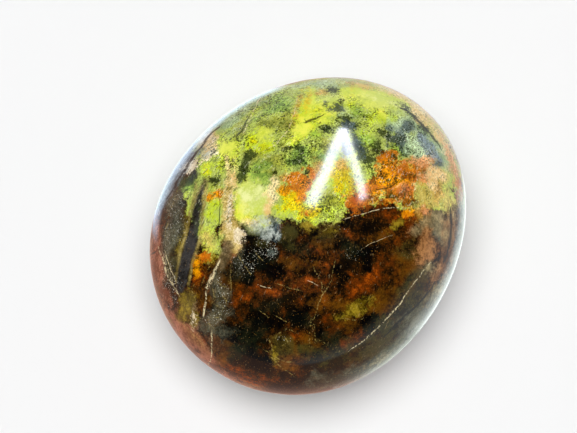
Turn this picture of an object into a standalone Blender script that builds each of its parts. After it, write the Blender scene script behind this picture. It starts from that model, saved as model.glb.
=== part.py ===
"""Palm stone: one polished pebble of green and brown opal, lying on the small flat spot of its belly.

Own frame: +X along the long axis, +Z up, origin in the middle of the flat spot, metres.
"""
import math

import bmesh
import bpy
from mathutils import Vector

MM = 0.001

# Driving dimensions
LENGTH = 84.0 * MM
WIDTH = 72.0 * MM
CROWN_RISE = 24.0 * MM      # widest level up to the crown
BELLY_DROP = 22.0 * MM      # widest level down to the belly before the flat spot is worn
FLAT_DEPTH = 0.5 * MM       # how much of the belly the flat spot takes away
TAPER = -0.054              # share by which the +X end is narrower than the middle
BOW = -0.022                # sideways bend of the long axis, as a share of the half width
PLAN_FULLNESS = 2.04        # 2 is an ellipse, more is squarer
SIDE_FULLNESS = 2.2         # the same for the rounding from plan to crown and belly

# Surface
POLISH_ROUGHNESS = 0.07
BODY_COLOUR = (0.12, 0.095, 0.022, 1.0)

# Cage
CAGE_STEPS = 6              # faces along one edge of the cage
SMOOTH_LEVELS = 2

# Subdivision draws a corner this share of the way towards the mean of its neighbours.
DRAWN_IN = 2.0 / 3.0

WIDEST_Z = BELLY_DROP - FLAT_DEPTH


def clear_scene():
    for obj in list(bpy.data.objects):
        bpy.data.objects.remove(obj)


def on_pebble(direction):
    """Point of the pebble's skin for a point of the unit sphere, measured from the flat spot."""
    half_length = LENGTH / 2
    half_width = WIDTH / 2
    rise = 0.5 + 0.5 * math.sin(direction.z * math.pi / 2)
    half_height = BELLY_DROP + (CROWN_RISE - BELLY_DROP) * rise
    plan = (abs(direction.x) ** PLAN_FULLNESS + abs(direction.y) ** PLAN_FULLNESS) ** (1 / PLAN_FULLNESS)
    reach = (plan ** SIDE_FULLNESS + abs(direction.z) ** SIDE_FULLNESS) ** (-1 / SIDE_FULLNESS)
    along = direction.x * reach
    across = direction.y * reach * (1 + TAPER * along) + BOW * along ** 2
    up = direction.z * reach
    return Vector((along * half_length, across * half_width, up * half_height + WIDEST_Z))


def cube_to_sphere(point):
    """Unit direction of a cube's point, with the cube's grid spread evenly over the sphere."""
    spread = Vector([math.tan(component * math.pi / 4) for component in point])
    return spread.normalized()


def stone_material():
    material = bpy.data.materials.new("polished_opal")
    material.use_nodes = True
    shader = material.node_tree.nodes["Principled BSDF"]
    shader.inputs["Base Color"].default_value = BODY_COLOUR
    shader.inputs["Roughness"].default_value = POLISH_ROUGHNESS
    shader.inputs["Metallic"].default_value = 0.0
    return material


def stand_off(cage):
    """Moves each corner out by what subdivision will draw it in, so the round form meets the skin."""
    moves = []
    for vertex in cage.verts:
        ring = [edge.other_vert(vertex).co for edge in vertex.link_edges]
        ring_middle = sum(ring, Vector()) / len(ring)
        moves.append((vertex.co - ring_middle) * DRAWN_IN)
    for vertex, move in zip(cage.verts, moves):
        vertex.co += move


def pebble_cage():
    """Coarse closed cage of quads around the pebble, from a cube."""
    cage = bmesh.new()
    bmesh.ops.create_cube(cage, size=2.0)
    bmesh.ops.subdivide_edges(cage, edges=cage.edges[:], cuts=CAGE_STEPS - 1, use_grid_fill=True)
    for vertex in cage.verts:
        vertex.co = on_pebble(cube_to_sphere(vertex.co))
    stand_off(cage)
    mesh = bpy.data.meshes.new("palm_stone")
    cage.to_mesh(mesh)
    cage.free()
    mesh.shade_smooth()
    return mesh


def ground_block():
    """Guide whose top face is the level that the stone is worn flat to."""
    mesh = bpy.data.meshes.new("ground_block")
    block = bmesh.new()
    bmesh.ops.create_cube(block, size=1.0)
    for vertex in block.verts:
        vertex.co.x *= LENGTH
        vertex.co.y *= WIDTH
        vertex.co.z = (vertex.co.z - 0.5) * BELLY_DROP
    block.to_mesh(mesh)
    block.free()
    return mesh


def add_to(collection_name, name, mesh):
    collection = bpy.data.collections.new(collection_name)
    bpy.context.scene.collection.children.link(collection)
    obj = bpy.data.objects.new(name, mesh)
    collection.objects.link(obj)
    return obj


def build():
    clear_scene()
    ground = add_to("cutters", "ground_block", ground_block())
    ground.hide_render = True
    ground.display_type = "WIRE"

    stone = add_to("palm_stone", "palm_stone", pebble_cage())
    stone.data.materials.append(stone_material())

    smooth = stone.modifiers.new("round_form", "SUBSURF")
    smooth.levels = SMOOTH_LEVELS
    smooth.render_levels = SMOOTH_LEVELS

    flat = stone.modifiers.new("flat_spot", "BOOLEAN")
    flat.operation = "DIFFERENCE"
    flat.object = ground


build()
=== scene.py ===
import math
import random

import bmesh
import bpy
import numpy as np
from mathutils import Matrix, Vector


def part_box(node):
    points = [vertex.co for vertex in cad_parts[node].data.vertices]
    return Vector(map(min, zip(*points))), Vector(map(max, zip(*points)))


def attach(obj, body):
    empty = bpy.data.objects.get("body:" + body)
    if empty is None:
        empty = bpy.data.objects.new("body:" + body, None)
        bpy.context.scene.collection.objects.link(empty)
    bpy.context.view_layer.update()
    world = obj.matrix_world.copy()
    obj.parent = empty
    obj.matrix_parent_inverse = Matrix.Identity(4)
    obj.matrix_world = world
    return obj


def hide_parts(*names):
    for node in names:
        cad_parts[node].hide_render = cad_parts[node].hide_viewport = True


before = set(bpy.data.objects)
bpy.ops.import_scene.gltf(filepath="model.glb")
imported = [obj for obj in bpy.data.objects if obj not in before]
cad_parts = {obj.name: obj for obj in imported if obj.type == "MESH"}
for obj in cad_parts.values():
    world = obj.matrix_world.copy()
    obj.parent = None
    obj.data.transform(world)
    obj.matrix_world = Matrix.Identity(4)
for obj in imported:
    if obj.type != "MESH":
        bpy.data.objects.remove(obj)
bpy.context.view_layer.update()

MM = 0.001
PICTURE_W = 577
PICTURE_H = 433

# Stone's form, the same as the solid's. Its size comes from the frame.
CROWN_SHARE = 24.0 / 45.5
BELLY_SHARE = 22.0 / 45.5
FLAT_SHARE = 0.5 / 45.5
TAPER = -0.054
BOW = -0.022
PLAN_FULLNESS = 2.04
SIDE_FULLNESS = 2.2
SKIN_STEPS = 120            # quads along one edge of the cube that becomes the skin
SKIN_CROWDING = 0.3         # how much closer the quads sit on the side that the picture shows
WAVE_HEIGHT = 0.02 * MM     # hand polish leaves the skin very slightly wavy
WAVES = [((410.0, 250.0, 330.0), 1.0), ((-270.0, 480.0, 190.0), 2.3)]   # radians in a metre, start

# Camera
VIEW_AZIMUTH = math.radians(-52.4)
VIEW_ELEVATION = math.radians(68.0)
VIEW_DISTANCE = 0.330
VIEW_CENTRE = Vector((0.0, 0.0, 22.0 * MM))
VIEW_RIGHT_BY = -5.46 * MM
VIEW_UP_BY = 2.87 * MM
LENS_MM = 84.06
SENSOR_MM = 36.0
NEAREST = 0.01              # metres from the camera, where its view begins
FOCAL_PX = LENS_MM / SENSOR_MM * PICTURE_W

VIEW_BACK = Vector((
    math.sin(VIEW_AZIMUTH) * math.cos(VIEW_ELEVATION),
    -math.cos(VIEW_AZIMUTH) * math.cos(VIEW_ELEVATION),
    math.sin(VIEW_ELEVATION),
))
VIEW_RIGHT = Vector((math.cos(VIEW_AZIMUTH), math.sin(VIEW_AZIMUTH), 0.0))
VIEW_UP = VIEW_BACK.cross(VIEW_RIGHT)
CAMERA_AT = (VIEW_CENTRE + VIEW_RIGHT * VIEW_RIGHT_BY + VIEW_UP * VIEW_UP_BY + VIEW_BACK * VIEW_DISTANCE)

# Patches wrap round the stone's edge until its skin looks this far away from the camera. Veins and
# lines shrink by this many pixels for each unit that it looks away.
WRAP_FACING = 0.3
VEIN_SHRINK = 40
LINE_SHRINK = 30
FAR_OUTSIDE = -30.0
JOIN_PX = 3.0               # how near two patches come before they grow together

# Patches of each mineral, by the pixels of the picture that they cover:
# across, down, half length, half width, and any turn in degrees.
PATCHES = {
    "rust": [
        (392, 248, 22, 16, 30), (300, 282, 30, 11, 5), (268, 290, 22, 9, 5), (245, 297, 13, 11),
        (362, 284, 18, 13, -10), (330, 326, 11, 10), (352, 338, 12, 9, -30), (200, 288, 9, 24, 6),
        (385, 276, 16, 16), (236, 374, 34, 11, 24), (275, 384, 30, 8, 5), (297, 338, 13, 11),
        (409, 226, 12, 14, 20), (386, 218, 16, 6), (315, 254, 20, 10), (320, 300, 16, 12),
        (296, 361, 14, 8, 10), (217, 352, 10, 14), (350, 232, 14, 6, 10),
    ],
    "ember": [
        (361, 281, 10, 10, -20), (345, 300, 3.5, 8, 5), (272, 294, 7, 4, 10), (246, 300, 8, 6),
        (306, 280, 7, 6), (325, 270, 5, 6), (409, 226, 7, 9, 10), (388, 247, 7, 6, 10), (199, 277, 5, 8, 5),
        (226, 362, 8, 6, 30), (252, 380, 16, 5, 18), (318, 248, 4, 3), (380, 205, 14, 4),
        (372, 276, 6, 5, -10), (396, 212, 16, 5), (292, 338, 5, 6), (290, 360, 7, 5, 20), (430, 292, 3, 3),
        (238, 290, 5, 8), (325, 300, 6, 5), (300, 374, 4, 4),
    ],
    "black": [
        (262, 255, 20, 12, 5), (242, 276, 8, 10), (280, 275, 7, 8), (298, 271, 7, 4), (294, 313, 10, 7),
        (276, 322, 9, 5), (241, 352, 15, 12, 10), (236, 330, 12, 12), (262, 362, 14, 7, 25),
        (366, 254, 15, 11, -10), (387, 249, 12, 6, 5), (352, 246, 10, 6), (372, 228, 15, 8, 10),
        (333, 247, 12, 4, 10), (319, 334, 7, 8, 10), (331, 345, 11, 6, 20), (298, 382, 14, 5, 8),
        (368, 322, 11, 7, -30), (346, 222, 8, 4), (312, 296, 6, 4), (316, 233, 5, 9, -10), (303, 228, 4, 5),
        (260, 318, 10, 9), (343, 270, 6, 14), (252, 340, 12, 9, 20), (387, 328, 8, 5, -35),
        (310, 258, 8, 5), (345, 312, 8, 4), (416, 312, 8, 3, -48), (268, 270, 9, 5), (250, 235, 10, 8),
        (308, 305, 5, 6), (231, 343, 6, 10), (285, 388, 18, 4, 5),
    ],
    "bronze": [
        (320, 302, 12, 10), (292, 358, 12, 8, 20), (330, 238, 12, 9), (222, 352, 12, 12, 20),
        (345, 328, 12, 9, -20), (405, 262, 12, 20, 15), (285, 343, 14, 12), (345, 303, 14, 8),
        (404, 300, 14, 10, -45), (403, 346, 10, 3, -42), (196, 300, 8, 14), (300, 262, 14, 6),
        (384, 300, 18, 9, -40), (210, 266, 8, 8), (232, 280, 6, 10), (420, 284, 12, 16, 25),
        (186, 318, 9, 18, -20), (220, 300, 9, 30, 6), (325, 345, 14, 8), (308, 340, 6, 10),
        (375, 240, 16, 4, -15),
    ],
    "murk": [
        (243, 328, 11, 10), (268, 308, 10, 8, 20), (255, 334, 12, 14, 20), (280, 300, 8, 4),
        (330, 340, 14, 8, 20), (240, 268, 10, 14, 20), (262, 262, 16, 8), (300, 246, 14, 6),
        (330, 238, 16, 5), (300, 318, 12, 6), (378, 326, 14, 7, -40), (322, 372, 20, 7, 10),
        (352, 250, 16, 10), (418, 290, 4, 12, 35), (236, 352, 12, 12),
    ],
    "moss": [
        (291, 237, 9, 11), (262, 243, 10, 6), (400, 316, 34, 13, -45), (378, 343, 24, 9, -38),
        (332, 356, 26, 9, -12), (283, 343, 12, 13, 10), (407, 284, 7, 18, 32), (438, 288, 6, 4, -50),
        (420, 300, 10, 6, -50), (172, 262, 8, 24, 12), (330, 230, 10, 8), (424, 272, 7, 13, 30),
        (408, 250, 7, 7, 10), (307, 352, 9, 7),
    ],
    "gray": [
        (174, 228, 9, 36, 8), (212, 328, 10, 4, 10), (217, 292, 3, 10, 10), (218, 302, 9, 30, 4),
        (414, 326, 30, 10, -46), (438, 300, 9, 22, 32), (350, 376, 40, 9, -20), (437, 222, 12, 18, 5),
        (238, 250, 4, 12), (386, 354, 24, 7, -38),
    ],
    # Reddish-brown patches along the lower left rim: partly the stone's own colour, partly a painted
    # reflection of a warm surface under the stone.
    "russet": [
        (154.5, 254, 4.5, 40, 2), (166, 312, 8, 34, -26), (198, 350, 22, 9, 46), (186, 332, 9, 16, -40),
        (228, 380, 20, 5, 30), (159, 276, 6, 26, -6),
    ],
    "fawn": [
        (437, 219, 12, 14, 10), (447, 232, 4, 10, 5), (426, 224, 7, 6), (416, 232, 5, 4),
        (434, 294, 3, 7, 35), (430, 268, 5, 6, 30), (190, 304, 5, 8, 10), (382, 361, 10, 3, -25),
    ],
    "clay": [
        (427, 246, 11, 13, 10), (421, 262, 3.5, 3), (449, 244, 5, 26, 8), (448, 228, 5, 9),
        (441, 268, 4, 10, 25), (427, 222, 3, 9, 10), (197, 341, 13, 4, 50), (230, 248, 9, 10),
    ],
    "olive": [
        (185, 230, 4, 26, 10), (206, 258, 8, 6), (188, 304, 7, 14, 10), (356, 309, 14, 6, -22),
        (342, 317, 5, 3, -20), (397, 224.5, 2.4, 6.5, 42), (275, 356, 2.5, 7, -10), (363, 304, 8, 3.5, -25),
        (329, 232, 8, 5), (336, 215, 12, 7, -10), (310, 222, 12, 6), (193, 320, 4, 5), (222, 255, 6, 6),
    ],
    "sage": [
        (300, 112, 110, 46, -10), (240, 140, 46, 40, -40), (395, 130, 60, 36, 30), (290, 165, 75, 35),
        (215, 190, 26, 36, 20), (325, 190, 32, 32), (433, 178, 28, 30), (208, 225, 13, 32, 5),
        (282, 198, 34, 24), (390, 172, 50, 33), (252, 200, 20, 26),
    ],
    "lime": [
        (254, 134, 10, 14, 10), (262, 148, 10, 6, -20), (225, 152, 15, 11, -30), (304, 125, 11, 20, 15),
        (207, 168, 6, 7), (212, 206, 7, 14, 5), (207, 234, 5, 8, 12), (352, 94, 18, 9), (330, 110, 16, 12),
        (332, 196, 14, 18), (247, 205, 12, 18), (368, 139, 6, 9), (380, 114, 14, 9, 15), (315, 213, 14, 9),
        (312, 133, 9, 6), (345, 106, 14, 8), (395, 102, 24, 8, 30), (295, 205, 16, 14), (290, 142, 8, 5),
    ],
    "yellow": [
        (307, 101, 8, 15, 6), (301, 123, 8, 15, 20), (379, 115, 7, 6), (219, 164, 4.5, 3.5),
        (294, 207, 12, 10, 8), (342, 182, 9, 14), (244, 208, 8, 14), (352, 94, 10, 6), (405, 98, 24, 4, 34),
        (250, 138, 6, 7), (262, 149, 8, 3, -15), (296, 138, 5, 6), (324, 113, 9, 5, 30), (207, 169, 4, 4),
        (314, 212, 8, 6), (205, 248, 4, 5, 10),
    ],
    "gilt": [
        (307, 101, 3, 9, 6), (294, 205, 12, 11, 8), (342, 180, 9, 15), (314, 213, 8, 5), (352, 186, 5, 10),
        (404, 95, 22, 3, 36),
    ],
    "fern": [
        (275, 104, 16, 8, -20), (300, 154, 11, 10), (264, 166, 12, 6, -20), (230, 120, 16, 6, -45),
        (367, 141, 7, 8), (386, 119, 7, 4), (315, 135, 5, 4), (357, 112, 8, 5), (400, 150, 9, 5),
        (188, 187, 5, 6), (268, 182, 10, 8), (330, 160, 10, 12),
    ],
    "drab": [
        (283, 122, 7, 13, 25), (270, 125, 8, 6), (284, 146, 8, 6), (272, 160, 12, 6, 10),
        (325, 145, 7, 9, -20), (253, 155, 10, 6), (276, 172, 8, 7), (240, 128, 5, 9, 40), (217, 183, 8, 4),
        (330, 198, 8, 9, 20), (290, 133, 4, 9, 20), (322, 166, 8, 6),
    ],
    "mint": [
        (232, 116, 22, 6, -42), (412, 124, 16, 9, 45), (428, 152, 22, 12, 50), (398, 128, 12, 10),
        (338, 114, 9, 6), (445, 160, 5, 16, -25), (315, 85, 22, 4, -5), (405, 144, 12, 8),
        (250, 105, 14, 5, -30), (441, 150, 5, 12, -35), (222, 121, 12, 5, -45),
    ],
    "glow": [
        (241, 206, 6, 14), (246, 190, 6, 8), (226, 151, 12, 7, -35), (376, 100, 18, 6, 15),
        (264, 135, 6, 7), (302, 126, 7, 15, 20), (308, 104, 6, 12, 6), (344, 95, 5, 7), (329, 111, 13, 8),
        (370, 96, 26, 8, 14), (380, 115, 8, 6),
    ],
    "milk": [
        (250, 195, 10, 12, 10), (261, 206, 9, 13), (381, 100, 12, 5, 15), (333, 99, 10, 4, -10),
        (263, 220, 10, 7), (398, 106, 10, 4, 25), (253, 227, 5, 4),
    ],
    "peach": [
        (271, 198, 7, 15), (249, 222, 6, 3.5, 10), (268, 213, 8, 7), (208, 142, 8, 13, 32),
        (276, 185, 5, 8), (423, 113, 18, 7, 48), (395, 92, 16, 4, 25), (441, 138, 18, 5, 60),
        (232, 180, 4, 14), (405, 187, 8, 6), (433, 176, 8, 10, -20),
    ],
    "straw": [
        (207, 242, 6, 10, 12), (430, 192, 18, 12), (440, 183, 9, 12), (447, 200, 6, 8), (436, 172, 8, 8),
    ],
    "tanned": [
        (320, 93, 7, 2.6, -5), (297, 107, 2, 9, 20), (360, 85, 13, 3, 8), (414, 180, 9, 6),
        (430, 168, 7, 12), (316, 170, 5, 10, 20), (342, 165, 5, 7), (286, 176, 6, 5), (372, 192, 8, 4),
        (418, 214, 6, 8), (437, 186, 5, 14),
    ],
    "orange": [
        (299, 179, 12, 10, -10), (301, 194, 9, 9), (387, 162, 13, 8, 30), (392, 174, 12, 8),
        (378, 186, 13, 7), (352, 202, 6, 9, -30), (394, 179, 20, 16, 20), (209, 196.5, 3.6, 3.4),
        (220.5, 194.5, 4, 3.8), (407, 213, 5, 4), (397, 187, 8, 7), (372, 199, 14, 4), (391, 200, 12, 4),
        (404, 166, 6, 8), (312, 172, 5, 6), (374, 190, 10, 10), (197, 263, 3.6, 3.6), (363, 200, 8, 6),
        (417, 172, 6, 7), (203, 257, 6, 4), (305, 213, 4, 3),
    ],
    "amber": [
        (286, 192, 6, 5), (381, 183, 8, 3.5), (401, 183, 9, 4), (196, 263, 3, 3), (210, 196.5, 3.4, 3),
        (219.5, 195, 3.8, 3.4), (405, 213, 3, 3), (412, 209.5, 2.2, 3), (387, 173, 6, 5), (300, 197, 5, 5),
        (378, 193, 6, 3), (385, 160, 5, 3, 30), (197, 272, 3, 5),
    ],
    "salmon": [
        (417, 162, 12, 8, 20), (425, 209, 4, 4), (425, 160, 8, 6), (403, 188, 4, 4),
        (453, 168, 3.5, 20, -18), (458, 186, 3, 12, -5), (424, 178, 6, 4),
    ],
    "seal": [
        (405, 199, 8, 4, 5), (380, 175, 4, 3.5), (372, 199, 8, 2.5), (423.5, 170.5, 2.6, 3),
        (406, 188, 1.6, 3, 20), (408, 176, 5, 3, 10), (375, 152, 6, 2.5), (373, 180, 4, 4),
        (392, 196, 7, 2), (366, 209, 5, 2), (413, 203, 4, 2), (382, 201, 3, 3),
    ],
    "ink": [
        (188, 177, 13, 6, -38), (248, 160, 12, 6, -55), (243, 171, 5, 8, 20), (217, 181, 6, 4),
        (300, 149, 5, 4.5), (285, 148, 5, 4), (298, 160, 5.5, 4), (349, 126, 10, 4.5, 15),
        (361, 152, 5, 12, -22), (379, 150, 8, 3, 10), (382, 134, 5.5, 4.5), (370, 158, 6, 5),
        (327, 128, 8, 4, 10), (345, 119, 4, 2), (200, 152, 6, 2, -40), (334, 90, 6, 4), (377, 144, 4, 6),
        (425, 130, 4, 8, -35), (277, 175, 2.5, 3), (305, 172, 3, 2, -20), (257, 172, 2, 2),
        (342, 102, 2.4, 2), (404, 155, 3, 2), (407, 108, 6, 2, 30), (351, 118, 8, 2), (393, 156, 5, 2, 20),
        (240, 176, 5, 6, 20), (212, 152, 3, 3), (389, 112, 1.6, 1.2),
    ],
    "slate": [
        (334, 108, 8.5, 7.5, 15), (350, 124, 9, 4, 20), (358, 143, 4, 12, -24), (394, 141, 8, 8),
        (407, 129, 9, 7.5, 20), (273, 227, 9, 9), (438.5, 163, 4, 4), (345, 148, 6, 9, -10),
        (277, 236, 5, 6), (390, 128, 4, 2),
    ],
    "cream": [
        (230, 208, 2, 12, 3), (237, 236, 6, 7), (224.5, 251, 2.4, 2.4), (207, 156, 8, 3, -22),
        (210, 140, 4.5, 8, 32), (192, 166, 9, 4, -34), (193, 320, 1.5, 4),
    ],
    "cloud": [
        (261, 229, 13, 9, 10), (272, 252, 2.6, 2.6), (277, 236, 3, 3, 10), (266, 221, 8, 3),
        (206, 153, 5, 3, -30),
    ],
    "pepper": [
        (262, 105, 30, 14, -15), (300, 150, 24, 16), (362, 108, 16, 8, 10), (360, 127, 10, 8),
        (385, 140, 20, 14), (415, 145, 22, 12, 30), (384, 172, 20, 14), (326, 127, 10, 8),
        (325, 207, 22, 12), (408, 130, 14, 12), (300, 178, 14, 12), (245, 165, 14, 12),
        (230, 150, 24, 20, -40), (390, 198, 20, 6), (300, 232, 20, 10), (280, 130, 12, 20, 20),
    ],
    "salt": [
        (265, 250, 20, 14), (174, 225, 12, 40, 8), (220, 300, 12, 34, 4), (345, 228, 10, 6),
        (245, 262, 12, 14), (275, 232, 12, 8), (354, 254, 14, 8), (326, 127, 8, 5), (382, 134, 6, 5),
        (229, 205, 8, 36), (170, 280, 12, 30, -10), (395, 138, 18, 10), (240, 118, 20, 8, -40),
        (185, 198, 6, 8), (284, 337, 8, 8), (212, 318, 8, 14), (245, 170, 5, 6),
    ],
}

# Veins, each by the pixels it runs through: across, down, half width.
VEINS = {
    "tan": [
        [(226, 158, 1), (228, 172, 2), (229, 185, 3), (228, 200, 4.5), (228, 216, 6), (231, 233, 10),
         (234, 246, 6)],
    ],
    "taupe": [
        [(205, 181, 3.5), (201, 191, 4.5), (198, 202, 5), (197, 214, 5)],
        [(227, 246, 6), (225, 256, 6), (221, 268, 3)],
    ],
    "blade": [
        [(203, 185, 1), (200, 197, 2.5), (197, 208, 3.5), (195.5, 222, 4.5), (191.5, 240, 6),
         (186, 260, 5.5), (182, 278, 5), (180, 290, 3)],
    ],
    "steel": [
        [(420, 137, 3), (428, 146, 5), (438, 158, 4)],
    ],
    "ink": [
        [(403, 109, 0.8), (412, 115, 1.2), (420, 123, 1.2), (428, 134, 0.7)],
    ],
    "gold": [
        [(208, 184, 1), (204, 200, 1.4), (202.5, 220, 1.4), (199, 241, 1.4), (192.5, 262, 1.2),
         (188, 284, 0.9)],
        [(196, 183, 1), (193, 200, 1.2), (189, 218, 1.3), (183.5, 240, 1.3), (179, 259, 1.2),
         (175.5, 282, 0.9)],
    ],
    # A pale gray-green band along the right and lower rim: partly a pale rind of the stone, partly a
    # painted reflection of bright surroundings.
    "pale_rind_and_painted_reflection": [
        [(459, 190, 1), (463, 212, 3.5), (463, 240, 5), (457, 268, 6), (446, 296, 6), (430, 321, 5),
         (410, 345, 5), (389, 364, 4), (362, 379, 2.5), (335, 388, 1)],
    ],
    # Painted reflection: a pale blue-white band along the upper left rim that stands in for the mirrored
    # bright surroundings.
    "painted_rim_reflection": [
        [(156, 213, 2), (164, 197, 4.5), (172, 180, 6), (183, 164, 6.5), (194, 150, 6), (202, 140, 4.5),
         (210, 129, 3), (222, 118, 2)],
    ],
}

# Cracks and threads, each by the pixels it runs through: across, down, half width.
LINES = {
    "crack": [
        [(404, 206.5, 0.3), (389, 208.5, 0.5), (372, 211, 0.4), (358, 214, 0.4), (345, 219, 0.3)],
        [(431, 262, 0.3), (424, 270, 0.4), (416, 281, 0.4), (408, 292, 0.5), (401, 303, 0.6),
         (391, 313, 0.8), (383, 322, 0.5), (375, 330, 0.6), (367, 338, 0.6), (359, 345, 0.4),
         (350, 350, 0.3)],
        [(158, 247, 0.5), (163, 260, 0.7), (166, 272, 1), (172, 283, 0.9), (179, 295, 0.7)],
        [(220, 260, 0.5), (215, 270, 1.3), (210, 281, 2.2), (206.5, 289, 1.4)],
        [(206, 292, 0.4), (205, 303, 0.6), (204, 310, 0.9), (202.5, 320, 0.5)],
        [(297, 98, 0.25), (294, 114, 0.35), (287, 131, 0.4), (277, 143, 0.4), (262, 152, 0.25)],
        [(260, 97, 0.5), (255, 108, 0.6), (250, 119, 0.6), (243, 131, 0.4)],
        [(213, 333, 0.7), (212, 350, 0.5), (209, 366, 0.5)],
        [(361, 249, 0.1), (373, 243, 0.2), (391, 235, 0.1)], [(259, 285, 0.3), (268, 288, 0.4)],
        [(309, 281, 0.2), (315, 285, 0.3)],
        [(165, 252, 0.4), (169, 264, 0.5), (173, 274, 0.5), (176, 282, 0.4)],
    ],
    "thread": [
        [(170, 214, 0.3), (166, 232, 0.5), (166, 246, 0.3)], [(176, 196, 0.3), (172, 208, 0.4)],
        [(212, 262, 0.3), (206, 272, 0.5), (202, 284, 0.3)],
        [(452, 203, 0.3), (440, 204, 0.4), (420, 205.5, 0.4), (404, 206.5, 0.4)],
        [(345, 219, 0.4), (332, 224, 0.4), (318, 226, 0.3)], [(274, 149, 0.4), (283, 160, 0.5)],
        [(335, 262, 0.3), (333, 275, 0.5), (331, 282, 0.5)],
        [(314, 268, 0.4), (319, 280, 0.5), (322, 291, 0.4)],
        [(329, 283, 0.5), (322, 296, 0.6), (317, 308, 0.5), (314, 318, 0.4)],
        [(311, 318, 0.5), (309, 332, 0.6), (310, 345, 0.5)], [(314, 326, 0.4), (316, 340, 0.5)],
        [(320, 340, 0.4), (329, 345, 0.5), (336, 352, 0.4)],
        [(269, 340, 0.5), (272, 348, 0.7), (273, 358, 0.8), (283, 367, 0.6), (293, 376, 0.4)],
        [(275, 316, 0.4), (283, 320, 0.5), (290, 322, 0.5)],
        [(231, 265, 0.4), (232, 280, 0.5), (231, 292, 0.4)],
        [(236, 250, 0.4), (243, 262, 0.6), (250, 274, 0.4)],
        [(252, 249, 0.4), (257, 255, 0.4), (263, 260, 0.5)],
        [(276, 337, 0.4), (279, 332, 0.6), (285, 329, 0.6), (291, 329, 0.5), (297, 333, 0.4)],
        [(280, 338, 0.5), (286, 338, 0.6), (287, 343, 0.5), (281, 346, 0.4)],
        [(278, 285, 0.4), (290, 289, 0.5), (301, 291, 0.4)], [(262, 312, 0.4), (268, 318, 0.5)],
        [(338, 216, 0.5), (332, 226, 0.5), (322, 232, 0.4)],
        [(212, 288, 0.4), (214, 296, 0.8), (211, 302, 0.5)],
        [(219, 283, 0.5), (225, 287, 0.6), (229, 284, 0.4)],
        [(216, 306, 0.4), (222, 310, 0.7), (219, 316, 0.6), (212, 318, 0.4)],
        [(222, 295, 0.4), (227, 300, 0.6), (225, 306, 0.4)], [(208, 322, 0.4), (214, 328, 0.5)],
        [(240, 238, 0.4), (239, 210, 0.5), (236, 186, 0.4), (231, 166, 0.3)],
        [(224, 236, 0.4), (222, 214, 0.5), (226, 190, 0.4)], [(303, 140, 0.4), (309, 131, 0.5)],
        [(280, 128, 0.5), (286, 122, 0.6)], [(225, 112, 0.4), (233, 104, 0.5)],
        [(214, 126, 0.5), (222, 121, 0.6), (236, 110, 0.4)],
        [(204, 158, 0.5), (212, 148, 0.6), (216, 140, 0.4)],
        [(195, 300, 0.4), (192, 290, 0.6), (196, 282, 0.4)],
        [(183, 322, 0.4), (194, 336, 0.5), (204, 345, 0.4)],
        [(340, 318, 0.4), (356, 320, 0.5), (366, 318, 0.4)],
        [(265, 350, 0.4), (278, 358, 0.5), (290, 362, 0.5)],
    ],
    "seam": [
        [(220, 126, 0.7), (212, 132, 0.9), (206, 141, 1), (200, 150, 1), (191, 161, 1),
         (184, 171, 1), (177, 183, 0.9), (168, 198, 0.7)],
        [(311, 121, 0.5), (305, 122, 0.8), (318, 117, 0.8), (323, 115, 0.4)],
        [(236, 136, 0.5), (243, 127, 0.9), (249, 117, 0.5)],
        [(219.5, 190, 0.2), (220, 205, 0.35), (219, 225, 0.4), (218, 240, 0.3)],
        [(384, 336, 0.5), (396, 325, 0.9), (410, 312, 1), (425, 297, 0.8), (436, 280, 0.5)],
        [(450, 208, 0.6), (452, 225, 1), (449, 245, 1), (444, 262, 0.7)],
        [(401, 108, 0.7), (412, 114, 1.2), (423, 124, 1.4), (433, 138, 1), (440, 148, 0.6)],
        [(373, 368, 0.6), (377, 364, 0.7)], [(359, 375, 0.6), (358, 382, 0.6)],
        [(151, 256, 0.6), (155, 252, 0.8)], [(378, 190, 0.5), (390, 187, 0.7), (398, 181, 0.5)],
    ],
}

# Ground colours of the stone from dark to bright. Patches push the ramp's value up or down.
BROWN_RAMP = [
    (0.0, "020101"), (0.25, "120901"), (0.45, "2a1502"), (0.62, "442002"), (0.8, "682c03"), (1.0, "a04a06"),
]
BROWN_START = 0.43
BROWN_PUSHES = [("rust", 0.13, 4), ("ember", 0.22, 3), ("black", -0.38, 3)]
GREEN_RAMP = [
    (0.0, "727a32"), (0.2, "a8b45c"), (0.4, "bcca58"), (0.6, "c4d634"), (0.8, "d0dc24"), (1.0, "e8dc0c"),
]
GREEN_START = 0.36
GREEN_PUSHES = [("lime", 0.22, 4), ("yellow", 0.3, 4)]

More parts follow.
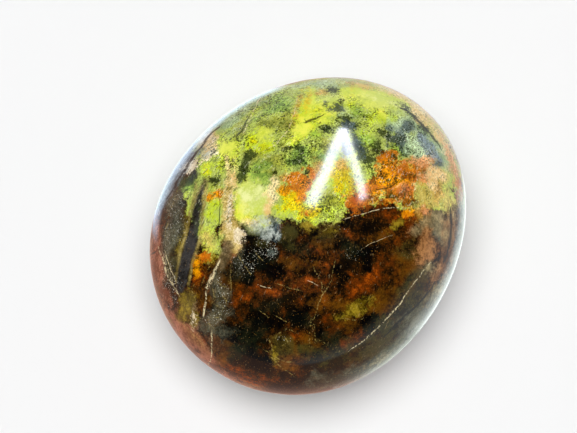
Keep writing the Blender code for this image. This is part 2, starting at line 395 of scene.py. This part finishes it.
# Layers over the ground colours from the deepest to the top one: name, dark colour, light colour,
# how ragged its edge is in pixels, how soft its edge is in pixels, how much it covers.
# The brown layers lie under the green zone, which the field named sage bounds.
BROWN_LAYERS = [
    ("bronze", "2c1803", "74480a", 6, 4, 0.6),
    # partly the stone's own colour, partly a painted reflection along the lower left rim
    ("russet", "7c4026", "c88060", 5, 4, 0.85),
    ("murk", "050704", "1e2210", 6, 4, 0.75),
    ("moss", "141404", "46421a", 6, 4, 0.75),
    ("gray", "3a3a28", "76745c", 6, 7, 0.75),
    ("clay", "643c1c", "b8804a", 6, 4, 0.85),
    ("fawn", "6c6040", "b09c6c", 7, 5, 0.8),
    ("olive", "4e3e04", "a08820", 6, 3, 0.85),
]
GREEN_EDGE = (8, 2.5)
GREEN_LAYERS = [
    ("fern", "628a30", "acd25a", 7, 4, 0.75),
    ("drab", "5a6020", "a09c3a", 7, 4, 0.7),
    ("mint", "84a078", "c6dab2", 6, 5, 0.85),
    ("glow", "d0dc3c", "eef060", 5, 5, 0.85),
    ("gilt", "ccac04", "f0d40c", 6, 3, 0.85),
    ("milk", "ccd868", "eef0a8", 3, 7, 0.88),
    ("straw", "bca048", "e4cc74", 6, 6, 0.88),
    ("tanned", "a47020", "dcac54", 6, 3, 0.8),
    ("peach", "e8bc78", "fce4ac", 5, 4, 0.85),
    ("orange", "bc5a06", "ee8c14", 7, 2.5, 0.9),
    ("amber", "d88000", "f8a804", 6, 2.5, 0.85),
    ("salmon", "c06c34", "e8a068", 6, 3, 0.85),
    ("seal", "341804", "70380a", 6, 2, 0.8),
    ("ink", "0c140a", "344220", 7, 1.5, 0.9),
    ("slate", "1e2a2c", "5a6a6c", 6, 2, 0.88),
    ("steel", "52626e", "8c9ca8", 5, 2.5, 0.85),
    ("tan", "bc9e50", "f4de98", 5, 2, 0.95),
    ("cream", "ccb484", "f8ecd0", 6, 1.5, 0.85),
    ("cloud", "5c6a60", "ccd4c8", 7, 3, 0.7),
    ("taupe", "4c4028", "86704c", 4, 2.5, 0.9),
    ("gold", "6e5c28", "b8a45c", 2, 1.5, 0.85),
    ("blade", "181614", "403e3c", 2, 1.5, 0.97),
]
TOP_LAYERS = [
    # partly a pale rind of the stone, partly a painted reflection along the right and lower rim
    ("pale_rind_and_painted_reflection", "a4aca0", "dce4dc", 3, 5, 0.5),
    # painted reflection: the pale blue-white band along the upper left rim
    ("painted_rim_reflection", "7c8c94", "c4d4e0", 3.5, 3, 0.5),
]
# Lines over everything: name, colour, how much it covers, and the noise below which it breaks off.
LINE_COLOURS = [
    ("seam", "14140c", 0.85, -0.4), ("thread", "c8b060", 0.4, -0.08), ("crack", "e8d8a8", 0.85, -0.15),
]
OTHER_FIELDS = ["rust", "ember", "black", "sage", "lime", "yellow", "pepper", "salt"]

# Patches of the sides that the picture doesn't show: their kinds above and below a row of pixels
# that spreads a little, how many they are, and their sizes.
GREEN_KINDS = ["sage", "lime", "fern", "yellow", "slate", "mint", "ink", "sage", "drab"]
BROWN_KINDS = ["rust", "murk", "moss", "rust", "black", "moss", "gray", "olive", "clay"]
SMALL_KINDS = ["slate", "ink", "yellow", "olive"]
ZONE_BORDER_PX = 216
ZONE_SPREAD_PX = 25
HIDDEN_PATCHES = 260
HIDDEN_SEED = 11
HIDDEN_FACING = -0.06
HIDDEN_SIZE_PX = (10, 30)
HIDDEN_FLATNESS = (0.35, 0.8)
HIDDEN_REACH_MM = (3, 9)

# Waves that bend the outlines of the patches: wavelength in the stone, and push in pixels.
BENDS = [(9.0 * MM, 2.6), (4.0 * MM, 1.8), (1.8 * MM, 1.0)]
BEND_SEED = 5
BEND_WAVES = 14
BEND_SPREAD = (0.7, 1.3)    # how far a wave's frequency may be off
SMALL_PATCH_PX = 8          # patches less wide than twice this are bent less
VEIN_BEND = 0.12            # share of the bend that veins and lines take
LINE_BEND = 0.15

# Noises in the stone: cycles in a millimetre, and levels of detail.
CLOUDY = (0.14, 2.0)
PATCHY = (0.45, 2.0)
GRAINY = (1.5, 2.0)
FINE = (3.4, 1.0)
SPOTS = (2.2, 3.0)
FIBRES = (2.6, 2.0)
DUST = (3.6, 2.0)
LAYER_WAY = (VIEW_RIGHT * 0.44 + VIEW_UP * 0.9).normalized()
FIBRE_DRAW = 0.75           # share by which the fibres' noise is drawn out along that way

# Shares of the patchy, grainy and fine noise in each use.
BROWN_NOISE = (1.2, 0.6, 0.4)
GREEN_NOISE = (0.7, 0.5, 0.5)
EDGE_NOISE = (1.4, 1.4, 1.2)
TINT_NOISE = (0.5, 0.4, 0.3)
LINE_NOISE = (0.5, 1.0, 1.0)
MOTTLE_NOISE = (0.3, 0.7, 1.0)
TINT_CLOUDS = 0.7           # share of the cloudy noise in a layer's tint
PUSH_RAGGEDNESS = 4         # raggedness in pixels of the patches that push a ramp
UNREST_FADE = (0.35, 0.65)  # cloudy noise between which the brightness grows uneven
LEAST_UNREST = 0.4          # unevenness outside those clouds
BROWN_UNREST = 0.5          # unevenness of the brown, as a share of the green's

# Flecks: the noise above which they show, how much they cover, and their colour.
FLECKS = {
    "dark": (0.65, 0.85, "1c260e"),
    "hair": (0.69, 0.6, "3a4a18"),
    "bright": (0.73, 0.26, "eef0c0"),
    "pale": (0.795, 0.85, "e8e6d4"),
    "gilded": (0.68, 0.5, "b07c30"),
    "rusty": (0.64, 0.5, "8a4a10"),
    "scratch": (0.68, 0.3, "a88c60"),
}
FLECK_CROWDING = 0.16       # how far that noise drops where flecks crowd
FLECK_SOFTNESS = 0.04
PEPPER_CROWD = (0.38, 0.6)  # patchy noise between which they come to crowd
FIBRE_CROWD = (0.4, 0.6)

# Heights of a field in pixels, above zero inside its edge, between which what it brings fades in.
PEPPER_FADE = (-6, 6)
SALT_FADE = (-5, 6)
RUST_FADE = (-4, 4)
SMOOTH_FADE = (4, -3)       # grain outside the smooth patches
LINE_FADE = (-3.5, -2.0)
LINE_PROFILE = (1.6, 0.5)   # half widths from a line's middle between which it fades in
LINE_GAP_FADE = 0.3
TINT_SPREAD = 0.16          # noise either side of zero that takes a layer from dark to light

STONE_ROUGHNESS = 0.1
STONE_IOR = 1.4

FLOOR_HALF = 8.0            # metres, so that a low view shows no edge
FLOOR_COLOUR = (0.86, 0.86, 0.86, 1.0)
FLOOR_ROUGHNESS = 0.9
FLOOR_SPECULAR = 0.1

# Two rows of light strips overhead and the veil of light between them: how bright each is, and the
# pixels where the stone mirrors it, as across, down and width.
TUBES = [
    (1.0, [(343, 128, 6), (334, 149, 9), (327, 168, 10), (318, 189, 10.5), (311, 205, 10)]),
    (0.8, [(345, 129, 5), (350, 149, 7.5), (356, 168, 8), (361, 187, 8), (363.5, 199, 7)]),
    (0.5, [(343, 134, 8), (344, 144, 12), (345, 152, 10), (347, 159, 5)]),
]
PARTS_A_STRETCH = 3         # strips between two of those places
PART_OVERLAP = 1.04
NEAR_POINTS = 16            # points of the skin that a mirror image is reckoned from
TUBE_DISTANCE = 0.6
TUBE_RADIANCE = 31.0
TUBE_COLOUR = (0.86, 0.92, 1.15)

# Light
SUN_STRENGTH = 3.3
SUN_SOFTNESS = math.radians(50.0)
SUN_AT = VIEW_CENTRE + VIEW_BACK * 0.8 + VIEW_UP * 0.2 - VIEW_RIGHT * 0.04
SKY_PALE = (1.0, 1.03, 1.06, 1.0)
SKY_DARK = (0.03, 0.03, 0.032, 1.0)
SKY_DIM = (0.25, 0.25, 0.25, 1.0)
SKY_LOW = (0.7, 0.42, 0.34, 1.0)
SKY_PALE_WAY = (VIEW_RIGHT * 0.86 + VIEW_UP * 0.5).normalized()
SKY_PALE_FADE = (-0.75, -0.2)
SKY_BELOW_FADE = (0.0, 0.5)
SKY_HORIZON = (-0.02, 0.0)
SKY_OVERHEAD = (0.0, 0.4)
# Bright glows below the horizon, which the stone's rim mirrors: the way to each, the cosines between
# which it fades in, the heights between which it fades in, and its colour.
LOW_GLOWS = [
    (VIEW_RIGHT * 0.82 - VIEW_UP * 0.57, (0.78, 0.97), (-0.5, -0.7), (1.0, 1.1, 1.0, 1.0)),
    (VIEW_RIGHT * 0.97 - VIEW_UP * 0.22, (0.86, 0.93), (-0.5, -0.64), (1.8, 1.98, 1.92, 1.0)),
    (VIEW_RIGHT * -0.74 + VIEW_UP * 0.67, (0.79, 0.86), (-0.42, -0.58), (1.6, 1.88, 2.3, 1.0)),
]


def array(vector):
    return np.array(vector[:])


def add_object(name, data):
    added = bpy.data.objects.new(name, data)
    bpy.context.scene.collection.objects.link(added)
    return added


# Form

def pebble_skin(directions):
    """Points of the pebble's skin for points of the unit sphere, in metres."""
    low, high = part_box("palm_stone")
    half_length = (high[0] - low[0]) / 2
    half_width = (high[1] - low[1]) / 2
    height = high[2] - low[2]
    x, y, z = directions.T
    rise = 0.5 + 0.5 * np.sin(z * math.pi / 2)
    half_height = height * (BELLY_SHARE + (CROWN_SHARE - BELLY_SHARE) * rise)
    plan = (np.abs(x) ** PLAN_FULLNESS + np.abs(y) ** PLAN_FULLNESS) ** (1 / PLAN_FULLNESS)
    reach = (plan ** SIDE_FULLNESS + np.abs(z) ** SIDE_FULLNESS) ** (-1 / SIDE_FULLNESS)
    along = x * reach
    across = y * reach * (1 + TAPER * along) + BOW * along ** 2
    up = z * reach * half_height + height * (BELLY_SHARE - FLAT_SHARE)
    return np.stack([along * half_length, across * half_width, up], 1)


def crowd_towards_view(directions):
    """Turns the cube's upper face to the camera and draws the grid together around it."""
    turn = Vector((0, 0, 1)).rotation_difference(VIEW_BACK).to_matrix()
    turned = directions @ np.array([row[:] for row in turn]).T
    back = array(VIEW_BACK)
    facing = np.clip(turned @ back, -1, 1)
    angle = np.arccos(facing)
    sideways = turned - facing[:, None] * back
    length = np.linalg.norm(sideways, axis=1, keepdims=True)
    sideways = sideways / np.maximum(length, 1e-9)
    angle = angle - SKIN_CROWDING * np.sin(angle)
    return np.cos(angle)[:, None] * back + np.sin(angle)[:, None] * sideways


def stone_mesh():
    cube = bmesh.new()
    bmesh.ops.create_cube(cube, size=2.0)
    bmesh.ops.subdivide_edges(cube, edges=cube.edges[:], cuts=SKIN_STEPS - 1, use_grid_fill=True)
    mesh = bpy.data.meshes.new("polished_stone")
    cube.to_mesh(mesh)
    cube.free()
    corners = np.empty(len(mesh.vertices) * 3)
    mesh.vertices.foreach_get("co", corners)
    directions = np.tan(corners.reshape(-1, 3) * math.pi / 4)
    directions /= np.linalg.norm(directions, axis=1, keepdims=True)
    directions = crowd_towards_view(directions)
    points = pebble_skin(directions)
    waves = sum(np.sin(points @ np.array(way) + start) for way, start in WAVES)
    points -= directions * (0.5 + 0.25 * waves)[:, None] * WAVE_HEIGHT
    points[:, 2] = np.maximum(points[:, 2], 0.0)
    mesh.vertices.foreach_set("co", points.ravel())
    mesh.update()
    mesh.shade_smooth()
    return mesh, points


# Markings

def seen(points):
    """Where points stand in the picture: across and down in pixels, and how far off in metres."""
    offset = points - array(CAMERA_AT)
    depth = -(offset @ array(VIEW_BACK))
    across = PICTURE_W / 2 + FOCAL_PX * (offset @ array(VIEW_RIGHT)) / depth
    down = PICTURE_H / 2 - FOCAL_PX * (offset @ array(VIEW_UP)) / depth
    return across, down, depth


def bend(points, wavelength, rng):
    """Smooth random height of about one unit at each point, from crossing waves."""
    height = np.zeros(len(points))
    for _ in range(BEND_WAVES):
        way = rng.normal(size=3)
        way *= 2 * math.pi / wavelength * rng.uniform(*BEND_SPREAD) / np.linalg.norm(way)
        height += np.sin(points @ way + rng.uniform(0, 2 * math.pi))
    return height * math.sqrt(2 / BEND_WAVES)


class Skin:
    """The skin's points as the picture sees them."""

    def __init__(self, mesh, points):
        self.points = points
        self.across, self.down, self.depth = seen(points)
        normals = np.empty(len(points) * 3)
        mesh.vertex_normals.foreach_get("vector", normals)
        self.normals = normals.reshape(-1, 3)
        to_camera = array(CAMERA_AT) - points
        to_camera /= np.linalg.norm(to_camera, axis=1, keepdims=True)
        self.facing = np.einsum("ij,ij->i", self.normals, to_camera)
        rng = np.random.default_rng(BEND_SEED)
        self.bent_across = self.across + sum(bend(points, size, rng) * push for size, push in BENDS)
        self.bent_down = self.down + sum(bend(points, size, rng) * push for size, push in BENDS)

    def patch(self, across, down, half_length, half_width, turn, behind):
        """Height in pixels inside an ellipse or ellipsoid, above zero inside it."""
        calm = min(1.0, (min(half_length, half_width) / SMALL_PATCH_PX) ** 2)
        c = math.cos(math.radians(turn))
        s = math.sin(math.radians(turn))
        right = self.across + (self.bent_across - self.across) * calm - across
        below = self.down + (self.bent_down - self.down) * calm - down
        along = (right * c + below * s) / half_length
        aside = (below * c - right * s) / half_width
        return (1 - np.sqrt(along ** 2 + aside ** 2 + behind ** 2)) * min(half_length, half_width)

    def shown_patch(self, across, down, half_length, half_width, turn=0):
        behind = np.maximum(-self.facing, 0) / WRAP_FACING
        return self.patch(across, down, half_length, half_width, turn, behind)

    def deep_patch(self, index, half_length, half_width, turn, reach):
        """A patch that lies inside the stone around one of its points."""
        behind = (self.depth - self.depth[index]) / reach
        return self.patch(self.across[index], self.down[index], half_length, half_width, turn, behind)

    def strokes(self, stops, calm):
        """For each stroke of a run: the points' distance from it, its width and side there, in pixels."""
        across = self.across + (self.bent_across - self.across) * calm
        down = self.down + (self.bent_down - self.down) * calm
        for (x0, y0, w0), (x1, y1, w1) in zip(stops, stops[1:]):
            run_x = x1 - x0
            run_y = y1 - y0
            t = ((across - x0) * run_x + (down - y0) * run_y) / (run_x ** 2 + run_y ** 2)
            t = np.clip(t, 0, 1)
            off_x = across - x0 - t * run_x
            off_y = down - y0 - t * run_y
            side = np.where(run_x * off_y > run_y * off_x, 1, -1)
            yield np.hypot(off_x, off_y), w0 + t * (w1 - w0), side

    def vein(self, stops):
        """Height in pixels inside a run of tapering strokes, above zero inside it."""
        result = np.full(len(self.points), FAR_OUTSIDE)
        behind = np.maximum(-self.facing, 0) * VEIN_SHRINK
        for away, width, _ in self.strokes(stops, VEIN_BEND):
            result = np.maximum(result, width - away - behind)
        return result

    def line(self, stops):
        """Nearness in pixels to a thin line, and the place across it in half widths of the line."""
        near = np.full(len(self.points), FAR_OUTSIDE)
        place = np.full(len(self.points), FAR_OUTSIDE)
        behind = np.maximum(-self.facing, 0) * LINE_SHRINK
        for away, width, side in self.strokes(stops, LINE_BEND):
            away = away + behind
            closer = -away > near
            near = np.where(closer, -away, near)
            place = np.where(closer, side * away / width, place)
        return near, place


def join(first, second):
    """The higher of two fields, rounded where they meet."""
    near = np.maximum(JOIN_PX - np.abs(first - second), 0) / JOIN_PX
    return np.maximum(first, second) + near * near * JOIN_PX / 4


def hidden_patches(skin):
    """Patches of the sides that the picture doesn't show, in the zones that run on from it."""
    rng = random.Random(HIDDEN_SEED)
    unseen = np.flatnonzero(skin.facing < HIDDEN_FACING)
    for _ in range(HIDDEN_PATCHES):
        index = unseen[rng.randrange(len(unseen))]
        upper = skin.down[index] + rng.uniform(-ZONE_SPREAD_PX, ZONE_SPREAD_PX) < ZONE_BORDER_PX
        kind = rng.choice(GREEN_KINDS if upper else BROWN_KINDS)
        size = rng.uniform(*HIDDEN_SIZE_PX)
        if kind in SMALL_KINDS:
            size = size * 0.5
        if kind == "sage":
            size = size * 2
        flatness = rng.uniform(*HIDDEN_FLATNESS)
        turn = rng.uniform(0, 180)
        reach = rng.uniform(*HIDDEN_REACH_MM) * MM
        yield kind, skin.deep_patch(index, size, size * flatness, turn, reach)


def paint_fields(skin):
    names = [layer[0] for layer in BROWN_LAYERS + GREEN_LAYERS + TOP_LAYERS] + OTHER_FIELDS
    fields = {name: np.full(len(skin.points), FAR_OUTSIDE) for name in names}
    for kind, marks in PATCHES.items():
        for mark in marks:
            fields[kind] = join(fields[kind], skin.shown_patch(*mark))
    for kind, height in hidden_patches(skin):
        fields[kind] = join(fields[kind], height)
    for kind, veins in VEINS.items():
        for stops in veins:
            fields[kind] = join(fields[kind], skin.vein(stops))
    for kind, lines in LINES.items():
        fields[kind] = np.full(len(skin.points), FAR_OUTSIDE)
        fields[kind + "_place"] = np.full(len(skin.points), FAR_OUTSIDE)
        for stops in lines:
            near, place = skin.line(stops)
            closer = near > fields[kind]
            fields[kind] = np.where(closer, near, fields[kind])
            fields[kind + "_place"] = np.where(closer, place, fields[kind + "_place"])
    return fields


def store_fields(mesh, fields):
    for name, values in fields.items():
        layer = mesh.attributes.new(name, "FLOAT", "POINT")
        layer.data.foreach_set("value", np.maximum(values, FAR_OUTSIDE).astype(np.float32))


# Material

def colour(hex_colour):
    """Scene colour of a display colour written as six hex digits."""
    shown = [int(hex_colour[i:i + 2], 16) / 255 for i in (0, 2, 4)]
    return [c / 12.92 if c <= 0.04045 else ((c + 0.055) / 1.055) ** 2.4 for c in shown] + [1.0]


class Nodes:
    """Short names for the few kinds of node that the stone and the sky use."""

    def __init__(self, tree):
        self.tree = tree

    def feed(self, node, inputs):
        """Sets a node's inputs to plain values or links them to other nodes' outputs."""
        for name, value in inputs.items():
            if isinstance(value, bpy.types.NodeSocket):
                self.tree.links.new(value, node.inputs[name])
            else:
                node.inputs[name].default_value = value

    def add(self, kind, inputs, **settings):
        node = self.tree.nodes.new(kind)
        for name, value in settings.items():
            setattr(node, name, value)
        self.feed(node, inputs)
        return node

    def math(self, operation, first, second=0.0):
        return self.add("ShaderNodeMath", {0: first, 1: second}, operation=operation).outputs[0]

    def plus(self, first, second):
        return self.math("ADD", first, second)

    def times(self, first, second):
        return self.math("MULTIPLY", first, second)

    def range(self, value, low, high):
        """Zero at low, one at high, smooth between."""
        inputs = {"Value": value, "From Min": low, "From Max": high}
        return self.add("ShaderNodeMapRange", inputs, interpolation_type="SMOOTHSTEP").outputs["Result"]

    def along(self, place, way):
        """How far a place lies along a way."""
        inputs = {0: place, 1: way}
        return self.add("ShaderNodeVectorMath", inputs, operation="DOT_PRODUCT").outputs["Value"]

    def ramp(self, value, stops):
        node = self.add("ShaderNodeValToRGB", {"Fac": value})
        ends = node.color_ramp.elements
        while len(ends) < len(stops):
            ends.new(0.5)
        for end, (place, shade) in zip(ends, stops):
            end.position = place
            end.color = colour(shade)
        return node.outputs["Color"]

    def mix(self, factor, first, second, blend="MIX"):
        inputs = {"Factor": factor, "A": first, "B": second}
        return self.add("ShaderNodeMix", inputs, data_type="RGBA", blend_type=blend).outputs["Result"]

    def noise(self, place, scale, detail):
        inputs = {"Vector": place, "Scale": scale, "Detail": detail}
        node = self.add("ShaderNodeTexNoise", inputs, noise_dimensions="3D")
        return self.add("ShaderNodeSeparateColor", {0: node.outputs["Color"]}).outputs[:3]

    def field(self, name):
        return self.add("ShaderNodeAttribute", {}, attribute_name=name).outputs["Fac"]


class Ground(Nodes):
    """The stone's nodes, with the noises that all its colours share."""

    def __init__(self, tree):
        super().__init__(tree)
        place = self.add("ShaderNodeTexCoord", {}).outputs["Object"]
        scaled = self.add("ShaderNodeVectorMath", {0: place, "Scale": 1 / MM}, operation="SCALE")
        self.place_mm = scaled.outputs[0]
        self.cloudy = self.noise(self.place_mm, *CLOUDY)
        self.patchy = self.noise(self.place_mm, *PATCHY)
        self.grainy = self.noise(self.place_mm, *GRAINY)
        self.fine = self.noise(self.place_mm, *FINE)
        smooth = self.math("MAXIMUM", self.field("milk"), self.field("glow"))
        self.calm = self.range(smooth, *SMOOTH_FADE)

    def blend(self, channel, patchy, grainy, fine):
        """Noise of about zero mean, with a share of each grain size."""
        total = self.times(self.patchy[channel], patchy)
        total = self.plus(total, self.times(self.grainy[channel - 1], grainy))
        total = self.plus(total, self.times(self.fine[channel - 2], fine))
        return self.math("SUBTRACT", total, (patchy + grainy + fine) / 2)

    def inside(self, name, channel, raggedness, softness):
        """One inside a patch and zero outside, with a ragged edge."""
        edge = self.blend(channel, *[raggedness * share for share in EDGE_NOISE])
        return self.range(self.plus(self.field(name), edge), -softness, softness)

    def ramped(self, start, pushes, stops, noise):
        value = self.plus(noise, start)
        for count, (name, push, softness) in enumerate(pushes):
            inside = self.inside(name, count, PUSH_RAGGEDNESS, softness)
            value = self.plus(value, self.times(inside, push))
        return self.ramp(value, stops)

    def layered(self, body, layers):
        for count, (name, dark, light, raggedness, softness, cover) in enumerate(layers):
            mask = self.times(self.inside(name, count % 3, raggedness, softness), cover)
            mottle = self.times(self.math("SUBTRACT", self.cloudy[count % 3], 0.5), TINT_CLOUDS)
            mottle = self.plus(mottle, self.blend((count + 1) % 3, *TINT_NOISE))
            tint = self.range(mottle, -TINT_SPREAD, TINT_SPREAD)
            body = self.mix(mask, body, self.mix(tint, colour(dark), colour(light)))
        return body

    def lined(self, body):
        """Thin lines, drawn where the place across them is near zero. They fade in and out."""
        for count, (name, shade, cover, gap) in enumerate(LINE_COLOURS):
            on_line = self.range(self.math("ABSOLUTE", self.field(name + "_place")), *LINE_PROFILE)
            on_line = self.times(on_line, self.range(self.field(name), *LINE_FADE))
            strength = self.range(self.blend(count, *LINE_NOISE), gap, gap + LINE_GAP_FADE)
            on_line = self.times(on_line, self.times(strength, cover))
            body = self.mix(on_line, body, colour(shade))
        return body

    def fibrous(self):
        """Noise drawn out along the way that the stone's layers run."""
        back = self.times(self.along(self.place_mm, LAYER_WAY), -FIBRE_DRAW)
        shift = self.add("ShaderNodeVectorMath", {0: LAYER_WAY, "Scale": back}, operation="SCALE")
        inputs = {0: self.place_mm, 1: shift.outputs[0]}
        place = self.add("ShaderNodeVectorMath", inputs, operation="ADD")
        return self.noise(place.outputs[0], *FIBRES)

    def flecked(self, body, kind, noise, many, where):
        """Ragged grains where a noise rises above a limit, which is lower where there are many."""
        limit, cover, shade = FLECKS[kind]
        height = self.plus(noise, self.times(many, FLECK_CROWDING))
        grains = self.range(height, limit, limit + FLECK_SOFTNESS)
        grains = self.times(grains, where)
        return self.mix(self.times(grains, cover), body, colour(shade))

    def speckled(self, body, green):
        """Dark and bright grains in the green, pale and rusty grains in the brown."""
        spots = self.noise(self.place_mm, *SPOTS)
        dust = self.noise(self.place_mm, *DUST)
        fibres = self.fibrous()
        ragged_green = self.times(green, self.calm)
        brown = self.math("SUBTRACT", 1.0, green)
        pepper = self.range(self.field("pepper"), *PEPPER_FADE)
        pepper = self.times(pepper, self.range(self.patchy[1], *PEPPER_CROWD))
        salt = self.range(self.field("salt"), *SALT_FADE)
        rust = self.times(self.range(self.field("rust"), *RUST_FADE), brown)
        body = self.flecked(body, "dark", spots[0], pepper, ragged_green)
        for kind, count, patchy in [("hair", 0, self.patchy[0]), ("bright", 1, self.patchy[2])]:
            body = self.flecked(body, kind, fibres[count], self.range(patchy, *FIBRE_CROWD), ragged_green)
        body = self.flecked(body, "pale", dust[1], salt, 1.0)
        body = self.flecked(body, "gilded", dust[0], 0.0, brown)
        body = self.flecked(body, "rusty", spots[2], 0.0, rust)
        return self.flecked(body, "scratch", fibres[2], 0.0, brown)

    def mottled(self, body, green):
        """Uneven brightness, stronger in some clouds, in the green and where dark grains crowd."""
        unrest = self.plus(self.range(self.cloudy[2], *UNREST_FADE), LEAST_UNREST)
        unrest = self.times(unrest, self.calm)
        unrest = self.times(unrest, self.plus(self.times(green, 1 - BROWN_UNREST), BROWN_UNREST))
        rough = self.plus(self.range(self.field("pepper"), *PEPPER_FADE), 1.0)
        shade = self.times(self.blend(2, *MOTTLE_NOISE), self.times(unrest, rough))
        return self.mix(1.0, body, self.plus(shade, 1.0), "MULTIPLY")


def stone_material():
    material = bpy.data.materials.new("polished_stone")
    material.use_nodes = True
    ground = Ground(material.node_tree)
    body = ground.ramped(BROWN_START, BROWN_PUSHES, BROWN_RAMP, ground.blend(0, *BROWN_NOISE))
    body = ground.layered(body, BROWN_LAYERS)
    green = ground.inside("sage", 1, *GREEN_EDGE)
    green_body = ground.ramped(GREEN_START, GREEN_PUSHES, GREEN_RAMP, ground.blend(1, *GREEN_NOISE))
    body = ground.mix(green, body, green_body)
    body = ground.layered(body, GREEN_LAYERS)
    body = ground.speckled(body, green)
    body = ground.mottled(body, green)
    # Pale bands along the rim go on top: painted reflections, the right one partly also a pale rind of the
    # stone.
    body = ground.layered(body, TOP_LAYERS)
    inputs = {"Base Color": ground.lined(body), "Roughness": STONE_ROUGHNESS, "IOR": STONE_IOR}
    ground.feed(material.node_tree.nodes["Principled BSDF"], inputs)
    return material


def build_stone():
    mesh, points = stone_mesh()
    skin = Skin(mesh, points)
    store_fields(mesh, paint_fields(skin))
    stone = add_object("polished_stone", mesh)
    mesh.materials.append(stone_material())
    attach(stone, "root")
    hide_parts("palm_stone")
    return skin


# Stage

def add_camera():
    camera = add_object("camera", bpy.data.cameras.new("camera"))
    camera.data.lens = LENS_MM
    camera.data.sensor_width = SENSOR_MM
    camera.data.clip_start = NEAREST
    turn = Matrix((VIEW_RIGHT, VIEW_UP, VIEW_BACK)).transposed()
    camera.matrix_world = Matrix.Translation(CAMERA_AT) @ turn.to_4x4()
    bpy.context.scene.camera = camera


def add_floor():
    corners = [(x * FLOOR_HALF, y * FLOOR_HALF, 0) for x, y in [(-1, -1), (1, -1), (1, 1), (-1, 1)]]
    mesh = bpy.data.meshes.new("floor")
    mesh.from_pydata(corners, [], [(0, 1, 2, 3)])
    floor = add_object("floor", mesh)
    material = bpy.data.materials.new("pale_floor")
    material.use_nodes = True
    Nodes(material.node_tree).feed(material.node_tree.nodes["Principled BSDF"], {
        "Base Color": FLOOR_COLOUR,
        "Roughness": FLOOR_ROUGHNESS,
        "Specular IOR Level": FLOOR_SPECULAR,
    })
    mesh.materials.append(material)
    floor.visible_glossy = False


def add_sky():
    """Pale low down on the bright side of the room, and dark overhead, where the stone's middle mirrors."""
    world = bpy.data.worlds.new("studio")
    bpy.context.scene.world = world
    world.use_nodes = True
    nodes = Nodes(world.node_tree)
    direction = nodes.add("ShaderNodeTexCoord", {}).outputs["Generated"]
    rise = nodes.add("ShaderNodeSeparateXYZ", {0: direction}).outputs["Z"]
    towards = nodes.along(direction, SKY_PALE_WAY)
    low = nodes.mix(nodes.range(towards, *SKY_PALE_FADE), SKY_DIM, SKY_PALE)
    below = nodes.mix(nodes.range(towards, *SKY_BELOW_FADE), SKY_LOW, SKY_PALE)
    forward = nodes.along(direction, VIEW_BACK)
    sideways = nodes.math("SQRT", nodes.math("SUBTRACT", 1.0, nodes.times(forward, forward)))
    for way, spread, heights, glow_colour in LOW_GLOWS:
        inside = nodes.range(nodes.math("DIVIDE", nodes.along(direction, way), sideways), *spread)
        inside = nodes.times(inside, nodes.range(rise, *heights))
        below = nodes.mix(inside, below, glow_colour)
    low = nodes.mix(nodes.range(rise, *SKY_HORIZON), below, low)
    glow = nodes.mix(nodes.range(rise, *SKY_OVERHEAD), low, SKY_DARK)
    nodes.feed(world.node_tree.nodes["Background"], {"Color": glow, "Strength": 1.0})


def aim(light, at, along, towards):
    """Places a light so that its long side runs along one way and it shines towards a point."""
    shine = (at - towards).normalized()
    long_side = (along - shine * along.dot(shine)).normalized()
    short_side = shine.cross(long_side)
    turn = Matrix((long_side, short_side, shine)).transposed()
    light.matrix_world = Matrix.Translation(at) @ turn.to_4x4()


def add_area_light(name, length, width, radiance, at, along, towards):
    data = bpy.data.lights.new(name, "AREA")
    data.shape = "RECTANGLE"
    data.size = length
    data.size_y = width
    data.energy = radiance * math.pi * length * width
    light = add_object(name, data)
    aim(light, at, along, towards)
    return light


def mirrored(skin, across, down):
    """Where a light stands that the stone mirrors at a pixel."""
    away = (skin.across - across) ** 2 + (skin.down - down) ** 2
    near = np.argsort(np.where(skin.facing > 0, away, np.inf))[:NEAR_POINTS]
    spread = np.stack([np.ones(len(near)), skin.across[near] - across, skin.down[near] - down], 1)
    point = Vector(np.linalg.lstsq(spread, skin.points[near], rcond=None)[0][0])
    normal = Vector(np.linalg.lstsq(spread, skin.normals[near], rcond=None)[0][0]).normalized()
    sight = (point - CAMERA_AT).normalized()
    return point + (sight - normal * (2 * sight.dot(normal))) * TUBE_DISTANCE


def between(first, second, t):
    return [a + (b - a) * t for a, b in zip(first, second)]


def add_tubes(skin):
    """Each tube is a run of short strips, so that its mirror image keeps its form on the round stone."""
    for tube_count, (brightness, stops) in enumerate(TUBES):
        for stretch, (start, end) in enumerate(zip(stops, stops[1:])):
            length = math.hypot(end[0] - start[0], end[1] - start[1])
            side_x = (end[1] - start[1]) / length / 2
            side_y = (start[0] - end[0]) / length / 2
            for part in range(PARTS_A_STRETCH):
                first = between(start, end, part / PARTS_A_STRETCH)
                last = between(start, end, (part + 1) / PARTS_A_STRETCH)
                across, down, width_px = between(first, last, 0.5)
                first_at = mirrored(skin, first[0], first[1])
                last_at = mirrored(skin, last[0], last[1])
                left = mirrored(skin, across - side_x * width_px, down - side_y * width_px)
                right = mirrored(skin, across + side_x * width_px, down + side_y * width_px)
                along = last_at - first_at
                strip = add_area_light(
                    f"tube_{tube_count + 1}_{stretch + 1}_{part + 1}", along.length * PART_OVERLAP,
                    (right - left).length, TUBE_RADIANCE * brightness,
                    (first_at + last_at) / 2, along, VIEW_CENTRE)
                strip.data.color = TUBE_COLOUR
                strip.visible_diffuse = False


def add_sun():
    """Even soft light over the stone and the whole floor."""
    data = bpy.data.lights.new("soft_sun", "SUN")
    data.energy = SUN_STRENGTH
    data.angle = SUN_SOFTNESS
    sun = add_object("soft_sun", data)
    aim(sun, SUN_AT, VIEW_RIGHT, VIEW_CENTRE)
    sun.visible_glossy = False


add_camera()
add_floor()
add_sky()
skin = build_stone()
add_tubes(skin)
add_sun()
bpy.context.scene.view_settings.view_transform = "Standard"
